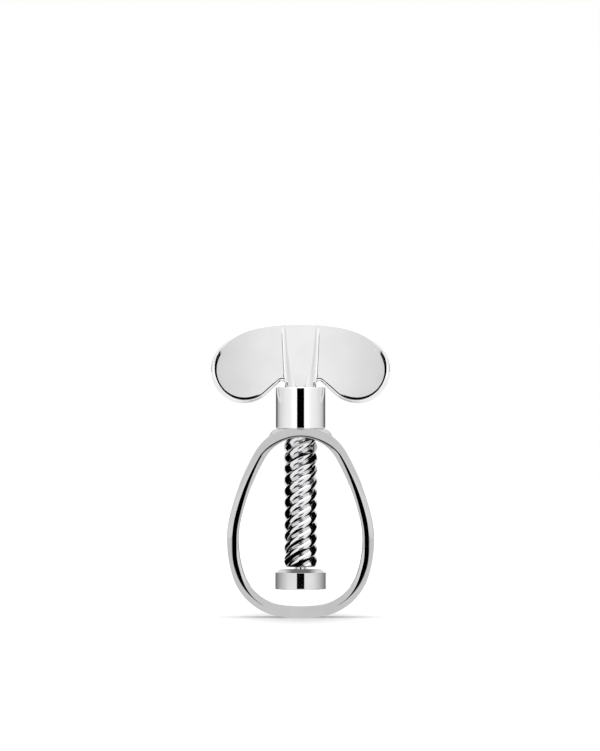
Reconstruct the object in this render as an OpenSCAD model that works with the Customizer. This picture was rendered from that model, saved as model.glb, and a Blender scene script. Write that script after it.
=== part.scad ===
// Screw nutcracker: an egg-shaped hoop carries a collar with a steep four-start nut.
// A wing handle turns the screw, and the swivel foot on the screw presses the nut
// against the floor of the hoop. The hoop stands on its flat base at z = 0.
// X runs across the wings, Y from front to back, Z up. Millimetres and degrees.

/* [Hoop] */
// Overall width of the hoop
hoop_w = 75.2; // [70:0.2:92]
// Height of the seat that the collar stands on
hoop_h = 96.2; // [88:0.2:116]
// Depth of the hoop from front to back
hoop_depth = 24; // [23.5:0.5:30]
// Thickness of the hoop's band
band = 5.9; // [4.8:0.1:7.2]
// Height of the hoop's widest point
belly_z = 39.6; // [34:0.2:46]
// Radius of the bottom of the hoop, on the band's centre line
floor_r = 72; // [60:1:90]
// Radius of the top of the hoop, on the band's centre line
crest_r = 24; // [20:0.5:28]
// Radius of the hoop's side below its widest point, on the centre line
low_side_r = 58; // [50:1:66]
// Turn of the side below the widest point
low_side_turn = 18; // [12:1:22]
// Radius of the hoop's side above its widest point, on the centre line
high_side_r = 49; // [42:1:58]
// Bow of the flank against the straight line that would touch the side and the top
flank_bow = 8.88; // [7:0.01:11]
// Radius of the crown on the hoop's front and back
crown_r = 7; // [5:0.5:9]
// Depth ground off the bottom to make the base flat
base_cut = 0.3; // [0.2:0.1:0.6]
// Thickness of the hoop under the collar
seat_wall = 4.2; // [3.6:0.1:5]
// How far the seat runs past the collar all round
seat_lip = 0.7; // [0.3:0.1:1.2]
// Distance of the boss from the edges of the hoop's front and back
seat_inset = 0.25; // [0.1:0.05:0.6]

/* [Screw] */
// Diameter over the crests of the screw
screw_d = 16.9; // [14:0.1:17]
// Travel for one turn of the handle
lead = 23.2; // [19:0.1:28]
// Number of thread starts
starts = 4; // [3:1:5]
// Radius of one rounded strand of the thread
strand_r = 4.95; // [4.6:0.05:5.6]
// Gap between the screw and its nut
thread_gap = 0.22; // [0.18:0.01:0.3]

/* [Collar and nut] */
// Diameter of the collar
collar_d = 25.4; // [25:0.2:30.6]
// Height of the collar
collar_h = 20.8; // [17:0.2:25]
// Height of the shadow groove under the collar
shadow_gap = 0.6; // [0.4:0.1:1]
// Wall of the collar around the nut
collar_wall = 1.7; // [1.4:0.1:1.8]
// Thickness of the collar's top
collar_roof = 3.2; // [2.5:0.1:4]
// Gap between the screw's crests and the collar and hoop
crest_gap = 0.3; // [0.3:0.05:0.6]
// Height of the polymer guide ring
guide_h = 4.4; // [3.5:0.1:5]
// Gap between the guide ring and the screw's crests
guide_gap = 0.1; // [0.08:0.01:0.14]
// Radius of the nut's spigot in the hoop
spigot_r = 10.2; // [9.8:0.1:10.4]
// Depth of the nut's spigot in the hoop
spigot_h = 2.5; // [2:0.1:2.8]
// Radius of the pin that locks the nut in the hoop
lock_pin_r = 0.8; // [0.6:0.1:0.9]
// Radius of the collar's set screw
collar_screw_r = 1.25; // [1:0.25:1.5]

/* [Wing handle] */
// Span over the two wings
wing_span = 91.6; // [84:0.2:110]
// Rise of the handle above the collar
wing_h = 32.7; // [30:0.1:40]
// Radius of the round lobe at each wing's tip
lobe_r = 16.9; // [15:0.1:18]
// Height of the lobe's centre above the collar
lobe_rise = 8.9; // [8:0.1:12]
// Least gap between a wing's underside and the edge of the collar
wing_gap = 0.6; // [0.4:0.1:1.2]
// Radius of the long curve along the top
wing_top_r = 115; // [100:1:160]
// Angle at which the lobe hands over to the shoulder
shoulder_angle = 48; // [40:1:56]
// Slope of the underside between the lobe and the neck
underside_slope = 43; // [38:1:46]
// Radius of the notch between the underside and the neck
notch_r = 1.6; // [1.2:0.1:2]
// How far the neck stands inside the crests of the screw
neck_step = 0.5; // [0.3:0.1:0.9]
// Half thickness of the blade at the top of the handle
blade_top_t = 1.1; // [0.8:0.1:1.6]
// Half thickness of the blade at the level of the collar's top
blade_low_t = 3.9; // [3.2:0.1:4.6]
// Half depth of the hub between its two slanted flats, at the top
hub_top_t = 2.2; // [1.8:0.1:3]
// Depth of the hub's slanted flats where they start, at the collar
hub_flat_in = 0.35; // [0.2:0.05:0.6]
// Wall of the neck around the screw's tenon
neck_wall = 2.95; // [2.4:0.05:3.2]
// Length of the tenon above the bumper washer
tenon_h = 14.5; // [11:0.5:15]
// Thickness of the bumper washer
bumper_t = 1.45; // [1:0.05:2]
// Radius of the handle's grub screw
grub_r = 1.5; // [1.25:0.25:1.5]

/* [Foot] */
// Diameter of the foot
foot_d = 26.4; // [22:0.2:32]
// Height of the foot's straight rim
foot_rim_h = 8.5; // [7.6:0.1:10.4]
// Height of the cone on top of the rim
foot_cone_h = 2; // [1.5:0.1:2.6]
// Radius of the flat on top of the cone
foot_top_r = 10.2; // [8.8:0.1:10.6]
// Gap between the foot and the floor of the hoop at rest
foot_gap = 8.6; // [6:0.2:11]
// Length of bare pin between the screw and the foot
pin_show = 0.9; // [0.6:0.1:1.4]
// Radius of the swivel pin
pin_r = 2.95; // [2.6:0.05:3.2]
// Running gap between the pin and its bush
pin_gap = 0.05; // [0.03:0.01:0.08]
// Length of the pin's shank inside the screw
shank_h = 10; // [8:0.5:14]
// Wall of the foot around the thrust plate
foot_wall = 2.2; // [1.8:0.1:2.6]
// Thickness of the thrust plate
plate_h = 3; // [2.6:0.1:3.4]
// Radius of the thrust ball
ball_r = 2; // [1.8:0.1:2.2]
// Number of grip grooves under the thrust plate
grip_grooves = 3; // [2:1:4]

/* [Hidden] */
$fn = 96;
over = 1;              // how far a cutting solid runs past the face it cuts
stop_gap = 0.05;       // hairline between the bumper washer and the nut it rests on
edge_break = 0.5;      // small chamfer on turned edges
turn_step = 12;        // twist of one slice of the thread
strand_points = 9;     // points around one strand
arc_step = 6;          // turn between the points of an outline's arc
loop_step = 4;         // turn between the stations around the hoop

screw_r = screw_d / 2;
neck_r = screw_r - neck_step;
tenon_r = neck_r - neck_wall;
hub_low_t = neck_r - hub_flat_in;
collar_r = collar_d / 2;
seat_r = collar_r + seat_lip;
foot_r = foot_d / 2;
passage_r = screw_r + crest_gap;
nut_r = collar_r - collar_wall;

// Heights, from the base up
hoop_floor_z = band - base_cut;
foot_z = hoop_floor_z + foot_gap;
foot_rim_z = foot_z + foot_rim_h;
foot_top_z = foot_rim_z + foot_cone_h;
screw_z = foot_top_z + pin_show;
spigot_z = hoop_h - spigot_h;
collar_z = hoop_h + shadow_gap;
collar_top_z = collar_z + collar_h;
roof_z = collar_top_z - collar_roof;
nut_top_z = roof_z - guide_h;
thread_top_z = nut_top_z + stop_gap;
neck_z = thread_top_z + bumper_t;
tenon_top_z = neck_z + tenon_h;
wing_top_z = collar_top_z + wing_h;

// The band's centre line is a chain of six tangent arcs on each side
side_x = (hoop_w - band) / 2;
crown_drop = crown_r - sqrt(pow(crown_r, 2) - pow(band / 2, 2));
floor_c = [0, band / 2 - base_cut + floor_r];
crest_c = [0, hoop_h - seat_wall + band / 2 - crest_r];
low_c = [side_x - low_side_r, belly_z];
high_c = [side_x - high_side_r, belly_z];
flank_line = heading(crest_c - high_c) - acos((high_side_r - crest_r) / norm(crest_c - high_c));
high_side_turn = flank_line - flank_bow;
low_end = low_c + low_side_r * unit(-low_side_turn);
high_end = high_c + high_side_r * unit(high_side_turn);
corner_r = bridge_r(low_end, unit(-low_side_turn), floor_c, floor_r);
flank_r = bridge_r(high_end, unit(high_side_turn), crest_c, crest_r);
corner_c = low_end - corner_r * unit(-low_side_turn);
flank_c = high_end - flank_r * unit(high_side_turn);
floor_turn = heading(corner_c - floor_c);
crest_turn = heading(crest_c - flank_c);

// The wing's outline: lobe, shoulder and top curve above, straight underside and notch below
under_angle = 270 - underside_slope;
lobe_x = wing_span / 2 - lobe_r;
clear_z = collar_top_z + (lobe_r + wing_gap + (lobe_x - collar_r) * cos(under_angle)) / -sin(under_angle);
lobe_c = [lobe_x, max(collar_top_z + lobe_rise, clear_z)];
top_c = [0, wing_top_z - wing_top_r];
shoulder_start = lobe_c + lobe_r * unit(shoulder_angle);
shoulder_r = bridge_r(shoulder_start, unit(shoulder_angle), top_c, wing_top_r);
shoulder_c = shoulder_start - shoulder_r * unit(shoulder_angle);
top_turn = heading(shoulder_c - top_c);
lobe_low = lobe_c + lobe_r * unit(under_angle);
notch_x = neck_r + notch_r;
notch_c = [notch_x, lobe_low[1]
           + (notch_r - (notch_x - lobe_low[0]) * cos(under_angle)) / sin(under_angle)];

// Strands: circles set around the axis, so that their crests lie on screw_r
strand_c = screw_r - strand_r;

// Foot internals
plate_r = foot_r - foot_wall;
plate_top_z = foot_z + plate_h;
bush_r = pin_r + 1.1;
bush_flange_r = bush_r + 2;
bush_flange_h = 0.8;
ceiling_z = foot_rim_z - 1;
flange_z = ceiling_z - bush_flange_h;
circlip_t = 0.8;
circlip_z = flange_z - 0.2 - circlip_t;
groove_r = pin_r - 0.55;
circlip_r = pin_r + 1.6;
ball_z = plate_top_z + 0.6 * ball_r;
ball_gap = 0.02;
pin_end_z = ball_z + 0.4 * ball_r;
shank_r = pin_r - 0.35;

function unit(a) = [cos(a), sin(a)];
function heading(v) = atan2(v[1], v[0]);

// Radius of the arc that leaves point p at right angles to n and runs into the circle c, r
function bridge_r(p, n, c, r) =
    let (d = p - c)
    (d * d - r * r) / (2 * (d * n - r));

// Points of an arc about c from angle a to angle b
function arc_points(c, r, a, b) =
    let (n = max(2, ceil(abs(b - a) / arc_step)))
    [for (i = [0:n]) c + r * unit(a + (b - a) * i / n)];

// Distance from the axis to the surface of a strand, at angle a from its crest
function strand_at(a, r) = strand_c * cos(a) + sqrt(pow(r, 2) - pow(strand_c * sin(a), 2));

// Half depth of the hub and of the blade at height z
function slant(low, top, z) = low + (top - low) * (z - collar_top_z) / wing_h;

module lying(y0, y1) {
    // Extrudes an XZ outline from y0 to y1
    translate([0, y1, 0]) rotate([90, 0, 0]) linear_extrude(y1 - y0) children();
}

module back_bore(r, y0, y1, z) {
    // A round bar or hole along Y, on the back of the part
    translate([0, y0, z]) rotate([-90, 0, 0]) cylinder(r = r, h = y1 - y0);
}

module back_socket(width, depth, y, z) {
    // A hexagon socket sunk into a screw whose outer end is at y
    translate([0, y - depth, z]) rotate([-90, 0, 0]) cylinder(d = width / cos(30), h = depth + over, $fn = 6);
}

module ring(r_in, r_out, z0, z1) {
    // A plain turned ring with square edges
    rotate_extrude() translate([r_in, z0]) square([r_out - r_in, z1 - z0]);
}

// ---- Hoop ----

// One outline of the band: a thin oblong with crowned ends, at the front and the back
section = let (reach = asin(band / 2 / crown_r), y = hoop_depth / 2 - crown_r)
    concat(arc_points([0, -y], crown_r, -90 - reach, reach - 90), arc_points([0, y], crown_r, 90 - reach, 90 + reach));

// The centre line's arcs in order around the hoop, each [centre, radius, from, to]
side_arcs = [
    [corner_c, corner_r, floor_turn, -low_side_turn],
    [low_c, low_side_r, -low_side_turn, 0],
    [high_c, high_side_r, 0, high_side_turn],
    [flank_c, flank_r, high_side_turn, crest_turn]];
loop_arcs = concat(
    [[floor_c, floor_r, -180 - floor_turn, floor_turn]],
    side_arcs,
    [[crest_c, crest_r, crest_turn, 180 - crest_turn]],
    [for (i = [3:-1:0]) let (arc = side_arcs[i])
        [[-arc[0][0], arc[0][1]], arc[1], 180 - arc[3], 180 - arc[2]]]);

// Stations around the loop, each [centre, radius, angle]
stations = [for (arc = loop_arcs)
    let (n = ceil((arc[3] - arc[2]) / loop_step))
    for (i = [0:n - 1]) [arc[0], arc[1], arc[2] + (arc[3] - arc[2]) * i / n]];

module band_loop() {
    // The section swept around the loop
    m = len(section);
    n = len(stations);
    polyhedron(
        points = [for (s = stations, p = section)
            let (at = s[0] + (s[1] + p[0]) * unit(s[2])) [at[0], p[1], at[1]]],
        faces = [for (j = [0:n - 1], i = [0:m - 1], half = [0, 1])
            let (k = (j + 1) % n, l = (i + 1) % m)
            half == 0 ? [j * m + i, k * m + l, j * m + l] : [j * m + i, k * m + i, k * m + l]]);
}

module seat_boss() {
    // A round pad that squares up the top of the hoop, cut off inside its front and back
    depth = hoop_depth - 2 * crown_drop - 2 * seat_inset;
    shoulder_z = crest_c[1] + sqrt(pow(crest_r + band / 2, 2) - pow(seat_r, 2));
    intersection() {
        translate([0, 0, shoulder_z - over]) cylinder(r = seat_r, h = hoop_h - shoulder_z + 2 * over);
        translate([-hoop_w / 2, -depth / 2, 0]) cube([hoop_w, depth, hoop_h + 2 * over]);
    }
}

module hoop_frame() {
    color("silver") difference() {
        union() {
            band_loop();
            seat_boss();
        }
        translate([-hoop_w / 2, -hoop_depth, -hoop_w]) cube([hoop_w, 2 * hoop_depth, hoop_w]);
        translate([-hoop_w / 2, -hoop_depth, hoop_h]) cube([hoop_w, 2 * hoop_depth, hoop_w]);
        translate([0, 0, hoop_h - 2 * band]) cylinder(r = passage_r, h = 2 * band + over);
        translate([0, 0, spigot_z]) cylinder(r = spigot_r, h = spigot_h + over);
        back_bore(lock_pin_r, 0, hoop_depth, spigot_z + spigot_h / 2);
    }
}

// ---- Thread ----

module strands(r, z0, z1) {
    // Rounded strands that climb to the right, between two heights
    n = starts * strand_points;
    h = z1 - z0;
    points = [for (i = [0:n - 1])
        let (turn = i * 360 / n, off = turn % (360 / starts), a = off > 180 / starts ? off - 360 / starts : off)
        strand_at(a, r) * unit(turn)];
    translate([0, 0, z0]) rotate([0, 0, 360 * z0 / lead])
        linear_extrude(h, twist = -360 * h / lead, slices = ceil(360 * h / lead / turn_step), $fn = n)
            polygon(points);
}

module helix_screw() {
    color("gainsboro") difference() {
        union() {
            strands(strand_r, screw_z, thread_top_z);
            translate([0, 0, thread_top_z - over]) cylinder(r = tenon_r, h = tenon_top_z - thread_top_z + over);
        }
        translate([0, 0, screw_z - over]) cylinder(r = shank_r, h = shank_h + over);
        back_bore(grub_r, grub_tip_y, hoop_depth, grub_z);
    }
}

// ---- Collar and nut ----

lock_pin_tip_y = spigot_r - 1;
lock_pin_end_y = hoop_depth / 2 - 0.15;
collar_screw_z = collar_z + 5;
collar_screw_tip_y = nut_r - 0.8;
collar_screw_end_y = collar_r - 0.2;

module drive_nut() {
    color("darkgoldenrod") difference() {
        union() {
            translate([0, 0, spigot_z]) cylinder(r = spigot_r, h = spigot_h + over);
            translate([0, 0, hoop_h]) cylinder(r = nut_r, h = nut_top_z - hoop_h);
        }
        strands(strand_r + thread_gap, spigot_z - over, nut_top_z + over);
        back_bore(lock_pin_r, lock_pin_tip_y, hoop_depth, spigot_z + spigot_h / 2);
        back_bore(collar_screw_r, collar_screw_tip_y, hoop_depth, collar_screw_z);
    }
}

module nut_lock_pin() {
    color("dimgray") back_bore(lock_pin_r, lock_pin_tip_y, lock_pin_end_y, spigot_z + spigot_h / 2);
}

module collar() {
    groove_in = 0.7;
    profile = [
        [nut_r, hoop_h],
        [collar_r - groove_in, hoop_h],
        [collar_r - groove_in, collar_z],
        [collar_r - edge_break, collar_z],
        [collar_r, collar_z + edge_break],
        [collar_r, collar_top_z - edge_break],
        [collar_r - edge_break, collar_top_z],
        [passage_r + edge_break, collar_top_z],
        [passage_r, collar_top_z - edge_break],
        [passage_r, roof_z],
        [nut_r, roof_z]
    ];
    color("silver") difference() {
        rotate_extrude() polygon(profile);
        back_bore(collar_screw_r, 0, hoop_depth, collar_screw_z);
    }
}

module collar_set_screw() {
    color("dimgray") difference() {
        back_bore(collar_screw_r, collar_screw_tip_y, collar_screw_end_y, collar_screw_z);
        back_socket(1.3, 1.1, collar_screw_end_y, collar_screw_z);
    }
}

module guide_ring() {
    color("black") ring(screw_r + guide_gap, nut_r, nut_top_z, roof_z);
}

// ---- Wing handle ----

grub_z = collar_top_z + 4.5;
grub_tip_y = tenon_r - 0.8;
grub_end_y = slant(hub_low_t, hub_top_t, grub_z) - 0.35;

module half_outline() {
    // One wing from the hub's centre line to its tip, in XZ
    polygon(concat(
        [[0, notch_c[1]]],
        arc_points(notch_c, notch_r, 180, under_angle - 180),
        arc_points(lobe_c, lobe_r, under_angle - 360, shoulder_angle),
        arc_points(shoulder_c, shoulder_r, shoulder_angle, top_turn),
        arc_points(top_c, wing_top_r, top_turn, 90)));
}

module wedge(low, top, z0) {
    // A bar across the handle that thins towards the top
    z1 = wing_top_z + over;
    rotate([90, 0, 90]) translate([0, 0, -wing_span / 2]) linear_extrude(wing_span)
        polygon([[-slant(low, top, z0), z0], [slant(low, top, z0), z0],
                 [slant(low, top, z1), z1], [-slant(low, top, z1), z1]]);
}

module blade() {
    intersection() {
        lying(-hoop_depth, hoop_depth) {
            half_outline();
            mirror([1, 0]) half_outline();
        }
        wedge(blade_low_t, blade_top_t, lobe_c[1] - lobe_r - over);
    }
}

module hub() {
    intersection() {
        translate([0, 0, neck_z]) cylinder(r = neck_r, h = wing_top_z - neck_z);
        wedge(hub_low_t, hub_top_t, collar_top_z);
        translate([0, hoop_depth, top_c[1]]) rotate([90, 0, 0]) cylinder(r = wing_top_r, h = 2 * hoop_depth);
    }
    translate([0, 0, neck_z]) cylinder(r = neck_r, h = collar_top_z - neck_z);
}

module wing_handle() {
    color("whitesmoke") difference() {
        union() {
            blade();
            hub();
        }
        translate([0, 0, neck_z - over]) cylinder(r = tenon_r, h = tenon_h + over);
        back_bore(grub_r, 0, hoop_depth, grub_z);
    }
}

module handle_grub_screw() {
    color("dimgray") difference() {
        back_bore(grub_r, grub_tip_y, grub_end_y, grub_z);
        back_socket(1.5, 1.2, grub_end_y, grub_z);
    }
}

module bumper_washer() {
    color("dimgray") ring(tenon_r, screw_r - 0.05, thread_top_z, neck_z);
}

// ---- Foot ----

module swivel_pin() {
    color("silver") difference() {
        rotate_extrude() polygon([
            [0, pin_end_z],
            [pin_r, pin_end_z],
            [pin_r, circlip_z],
            [groove_r, circlip_z],
            [groove_r, circlip_z + circlip_t],
            [pin_r, circlip_z + circlip_t],
            [pin_r, screw_z],
            [shank_r, screw_z],
            [shank_r, screw_z + shank_h - edge_break],
            [shank_r - edge_break, screw_z + shank_h],
            [0, screw_z + shank_h]
        ]);
        translate([0, 0, ball_z]) sphere(ball_r + ball_gap);
    }
}

module swivel_bush() {
    color("black") rotate_extrude() polygon([
        [pin_r + pin_gap, flange_z],
        [bush_flange_r, flange_z],
        [bush_flange_r, ceiling_z],
        [bush_r, ceiling_z],
        [bush_r, foot_top_z - 0.1],
        [pin_r + pin_gap, foot_top_z - 0.1]
    ]);
}

module pin_circlip() {
    gap_w = 2;
    color("dimgray") difference() {
        ring(groove_r, circlip_r, circlip_z, circlip_z + circlip_t);
        translate([-gap_w / 2, 0, circlip_z - over]) cube([gap_w, circlip_r + over, circlip_t + 2 * over]);
    }
}

module foot_cap() {
    color("silver") rotate_extrude() polygon([
        [plate_r, foot_z],
        [foot_r - edge_break, foot_z],
        [foot_r, foot_z + edge_break],
        [foot_r, foot_rim_z],
        [foot_top_r, foot_top_z],
        [bush_r, foot_top_z],
        [bush_r, ceiling_z],
        [plate_r, ceiling_z]
    ]);
}

module thrust_plate() {
    groove_depth = 0.4;
    pitch = plate_r / (grip_grooves + 1);
    color("silver") difference() {
        translate([0, 0, foot_z]) cylinder(r = plate_r, h = plate_h);
        translate([0, 0, ball_z]) sphere(ball_r + ball_gap);
        for (i = [1:grip_grooves]) rotate_extrude() translate([i * pitch, foot_z])
            polygon([[-groove_depth, -groove_depth], [groove_depth, -groove_depth], [0, groove_depth]]);
    }
}

module thrust_ball() {
    color("gainsboro") translate([0, 0, ball_z]) sphere(ball_r);
}

hoop_frame();
drive_nut();
nut_lock_pin();
collar();
collar_set_screw();
guide_ring();
helix_screw();
bumper_washer();
wing_handle();
handle_grub_screw();
swivel_pin();
swivel_bush();
pin_circlip();
foot_cap();
thrust_plate();
thrust_ball();
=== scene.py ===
"""Screw nutcracker: the visual model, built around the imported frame.

An egg-shaped polished hoop carries a collar. A four-start screw runs through the collar,
with a wing handle on top and a swivel foot below. X runs across the wings, Y from front to
back and Z up. Sizes in the classes are in millimetres, and ``mesh_object`` turns them into
metres.
"""

import logging
import math
from dataclasses import dataclass, field
from enum import Enum
from functools import cache
from typing import Mapping, Optional, Sequence

import bpy
import numpy as np
from mathutils import Matrix, Vector
from mathutils.geometry import delaunay_2d_cdt


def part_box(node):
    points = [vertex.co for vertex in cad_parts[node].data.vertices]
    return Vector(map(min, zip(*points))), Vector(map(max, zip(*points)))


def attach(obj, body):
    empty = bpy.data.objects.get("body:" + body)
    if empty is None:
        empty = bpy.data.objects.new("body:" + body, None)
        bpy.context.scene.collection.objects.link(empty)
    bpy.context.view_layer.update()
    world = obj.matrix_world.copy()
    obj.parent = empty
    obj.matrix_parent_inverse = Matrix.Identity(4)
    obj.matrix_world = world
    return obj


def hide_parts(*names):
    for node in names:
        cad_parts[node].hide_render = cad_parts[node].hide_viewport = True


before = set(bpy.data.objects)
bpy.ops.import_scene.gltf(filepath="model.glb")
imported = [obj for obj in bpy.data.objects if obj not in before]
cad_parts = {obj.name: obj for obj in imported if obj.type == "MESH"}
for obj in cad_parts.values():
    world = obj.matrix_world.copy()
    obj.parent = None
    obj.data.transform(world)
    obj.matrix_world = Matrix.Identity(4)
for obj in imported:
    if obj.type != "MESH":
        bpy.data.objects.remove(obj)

LOG = logging.getLogger("nutcracker")
MM = 0.001

Span = tuple[float, float]
Corner = tuple[float, float, float]
Profile = list[Span]
Faces = list[tuple[int, ...]]
Arc = tuple[np.ndarray, float, float, float]


# ---------------------------------------------------------------- small geometry helpers

def box_mm(node: str) -> tuple[Vector, Vector]:
    """Gives a frame node's box in millimetres.

    Args:
        node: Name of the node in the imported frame.

    Returns:
        The lowest and the highest corner.
    """
    low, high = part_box(node)
    return low / MM, high / MM


def unit(turn: float) -> np.ndarray:
    """Unit vector in a plane at an angle in radians."""
    return np.array([math.cos(turn), math.sin(turn)])


def heading(way: np.ndarray) -> float:
    """Angle of a plane vector in radians."""
    return math.atan2(way[1], way[0])


def bridge_radius(start: np.ndarray, normal: np.ndarray, centre: np.ndarray, radius: float) -> float:
    """Radius of the arc that leaves a point and runs smoothly into a circle.

    Args:
        start: The point, where the arc is at right angles to ``normal``.
        normal: Unit vector from the arc's centre towards the point.
        centre: Centre of the circle that the arc runs into.
        radius: Radius of that circle.

    Returns:
        The bridging arc's radius.
    """
    way = start - centre
    return float((way @ way - radius**2) / (2 * (way @ normal - radius)))


def polar(x: np.ndarray, z: np.ndarray, centre: np.ndarray) -> tuple[np.ndarray, np.ndarray]:
    """Distance of places from a centre, and their direction from it in radians."""
    return np.hypot(x - centre[0], z - centre[1]), np.arctan2(z - centre[1], x - centre[0])


def ramp(x: float | np.ndarray, start: float = 0.0, reach: float = 1.0) -> float | np.ndarray:
    """Eased step from 0 to 1 that begins at ``start`` and takes ``reach``."""
    t = np.clip((x - start) / reach, 0.0, 1.0)
    return t * t * (3 - 2 * t)


def soft_max(a: np.ndarray, b: np.ndarray, blend: float | np.ndarray) -> np.ndarray:
    """Larger of two fields, with the crease between them rounded over ``blend``."""
    near = np.clip(blend - np.abs(a - b), 0.0, None) / blend
    return np.maximum(a, b) + near**2 * blend / 4


def strip(low: int, high: int, count: int, flip: bool = False) -> Faces:
    """Joins two rings of points with a closed strip of faces.

    Args:
        low: Index of the first ring's first point.
        high: Index of the second ring's first point.
        count: Points in each ring.
        flip: Whether the faces are turned over.

    Returns:
        The faces.
    """
    quads = [(low + i, low + (i + 1) % count, high + (i + 1) % count, high + i) for i in range(count)]
    return [quad[::-1] for quad in quads] if flip else quads


def rounded(corners: Sequence[Corner], closed: bool = True) -> Profile:
    """Turns a polygon's corners into small arcs with a holding point on either side.

    Args:
        corners: Each corner as (radius from the axis, height, fillet radius).
        closed: Whether the last corner joins the first.

    Returns:
        The profile's points in order.
    """
    hold, arc_turn = 0.05, math.radians(11)
    points: Profile = []
    count = len(corners)
    for i, (r, z, fillet) in enumerate(corners):
        at = np.array([r, z])
        if fillet <= 0 or (not closed and i in (0, count - 1)):
            points.append((r, z))
            continue
        before = np.array(corners[i - 1][:2]) - at
        after = np.array(corners[(i + 1) % count][:2]) - at
        in_way, out_way = before / np.linalg.norm(before), after / np.linalg.norm(after)
        opening = math.acos(float(np.clip(in_way @ out_way, -1, 1)))
        reach = fillet / math.tan(opening / 2)
        centre = at + (in_way + out_way) / np.linalg.norm(in_way + out_way) * fillet / math.sin(opening / 2)
        first, last = at + in_way * reach - centre, at + out_way * reach - centre
        sweep = math.atan2(first[0] * last[1] - first[1] * last[0], float(first @ last))
        steps = max(3, math.ceil(abs(sweep) / arc_turn))
        start = heading(first)
        points.append(tuple(at + in_way * (reach + hold)))
        points += [tuple(centre + fillet * unit(start + sweep * k / steps)) for k in range(steps + 1)]
        points.append(tuple(at + out_way * (reach + hold)))
    return points


# ---------------------------------------------------------------- shader node groups

FLOAT, VECTOR = "NodeSocketFloat", "NodeSocketVector"


class Node:
    """Short spellings for wiring one node tree."""

    def __init__(self, tree: bpy.types.NodeTree) -> None:
        """Keeps the tree that the calls below add to."""
        self.tree = tree

    def add(self, kind: str, inputs: Optional[dict[int | str, object]] = None,
            **settings: object) -> bpy.types.Node:
        """Adds a node.

        Args:
            kind: The node's type without its ``ShaderNode`` prefix.
            inputs: Values or output sockets for its inputs, by name or number.
            settings: Properties of the node, set before its inputs.

        Returns:
            The new node.
        """
        node = self.tree.nodes.new("ShaderNode" + kind)
        for name, value in settings.items():
            setattr(node, name, value)
        for key, value in (inputs or {}).items():
            if isinstance(value, bpy.types.NodeSocket):
                self.tree.links.new(value, node.inputs[key])
            else:
                node.inputs[key].default_value = value
        return node

    def wire(self, node: bpy.types.Node, **sources: bpy.types.NodeSocket) -> None:
        """Links sources into a node's inputs of the same names, with spaces for underscores."""
        for name, source in sources.items():
            self.tree.links.new(source, node.inputs[name.replace("_", " ")])

    def place(self) -> bpy.types.NodeSocket:
        """Position in the object's own frame."""
        return self.add("TexCoord").outputs["Object"]

    def group(self, tree: bpy.types.NodeTree, **values: object) -> Mapping[str, bpy.types.NodeSocket]:
        """Places a shared group with values for its inputs and gives its outputs."""
        return self.add("Group", values, node_tree=tree).outputs

    def math(self, operation: str, *values: object, clamp: bool = False) -> bpy.types.NodeSocket:
        """Adds a maths node on numbers or sockets and gives its result."""
        return self.add("Math", dict(enumerate(values)), operation=operation, use_clamp=clamp).outputs[0]

    def vector(self, operation: str, *values: object) -> bpy.types.NodeSocket:
        """Adds a vector maths node and gives its length output for a length, or its vector."""
        node = self.add("VectorMath", dict(enumerate(values)), operation=operation)
        return node.outputs["Value" if operation == "LENGTH" else "Vector"]

    def noise(self, place: object, scale: object, detail: float,
              roughness: float = 0.5) -> bpy.types.NodeSocket:
        """Adds a noise texture at a place and gives its value."""
        inputs = {"Vector": place, "Scale": scale, "Detail": detail, "Roughness": roughness}
        return self.add("TexNoise", inputs).outputs["Fac"]

    def mix(self, share: object, first: object, second: object) -> bpy.types.NodeSocket:
        """Adds a mix of two colours and gives its result."""
        return self.add("Mix", {0: share, 6: first, 7: second}, data_type="RGBA").outputs[2]

    def blend(self, share: object, first: object, second: object) -> bpy.types.NodeSocket:
        """Adds a mix of two numbers and gives its result."""
        return self.add("Mix", {0: share, 2: first, 3: second}, data_type="FLOAT").outputs[0]

    def remap(self, value: object, source: Span = (0.0, 1.0), to: Span = (0.0, 1.0),
              kind: str = "LINEAR") -> bpy.types.NodeSocket:
        """Maps a value from one range to another.

        Args:
            value: The value.
            source: Range that it comes from.
            to: Range that it goes to.
            kind: How it runs between the two ends.

        Returns:
            The mapped value.
        """
        inputs = {"Value": value, "From Min": source[0], "From Max": source[1],
                  "To Min": to[0], "To Max": to[1]}
        return self.add("MapRange", inputs, interpolation_type=kind).outputs["Result"]


def new_group(name: str, inputs: dict[str, tuple[str, object]],
              outputs: Sequence[str]) -> tuple[Node, Mapping[str, bpy.types.NodeSocket], bpy.types.Node]:
    """Makes an empty shader node group with named sockets.

    Args:
        name: The group's name.
        inputs: Socket type and default value of each input.
        outputs: Name of each output, all of them plain numbers.

    Returns:
        The group's wiring helper, the sockets that its inputs arrive at, and its output node.
    """
    tree = bpy.data.node_groups.new(name, "ShaderNodeTree")
    for label, (kind, value) in inputs.items():
        tree.interface.new_socket(label, in_out="INPUT", socket_type=kind).default_value = value
    for label in outputs:
        tree.interface.new_socket(label, in_out="OUTPUT", socket_type=FLOAT)
    return Node(tree), tree.nodes.new("NodeGroupInput").outputs, tree.nodes.new("NodeGroupOutput")


@cache
def polish_group() -> bpy.types.NodeTree:
    """Fine lines left by a polishing belt, drawn out along one direction.

    Returns:
        A group with outputs ``Lines`` (a height) and ``Haze`` (a slow mask of 0 to 1).
    """
    inputs = {"Stretch": (VECTOR, (1.0, 1.0, 1.0)), "Fineness": (FLOAT, 1200.0)}
    n, given, made = new_group("polish_lines", inputs, ("Lines", "Haze"))
    place = n.place()
    lines = n.noise(n.vector("MULTIPLY", place, given["Stretch"]), given["Fineness"], 3.0)
    n.wire(made, Lines=lines, Haze=n.remap(n.noise(place, 90.0, 2.0, 0.45), (0.35, 0.68)))
    return n.tree


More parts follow.
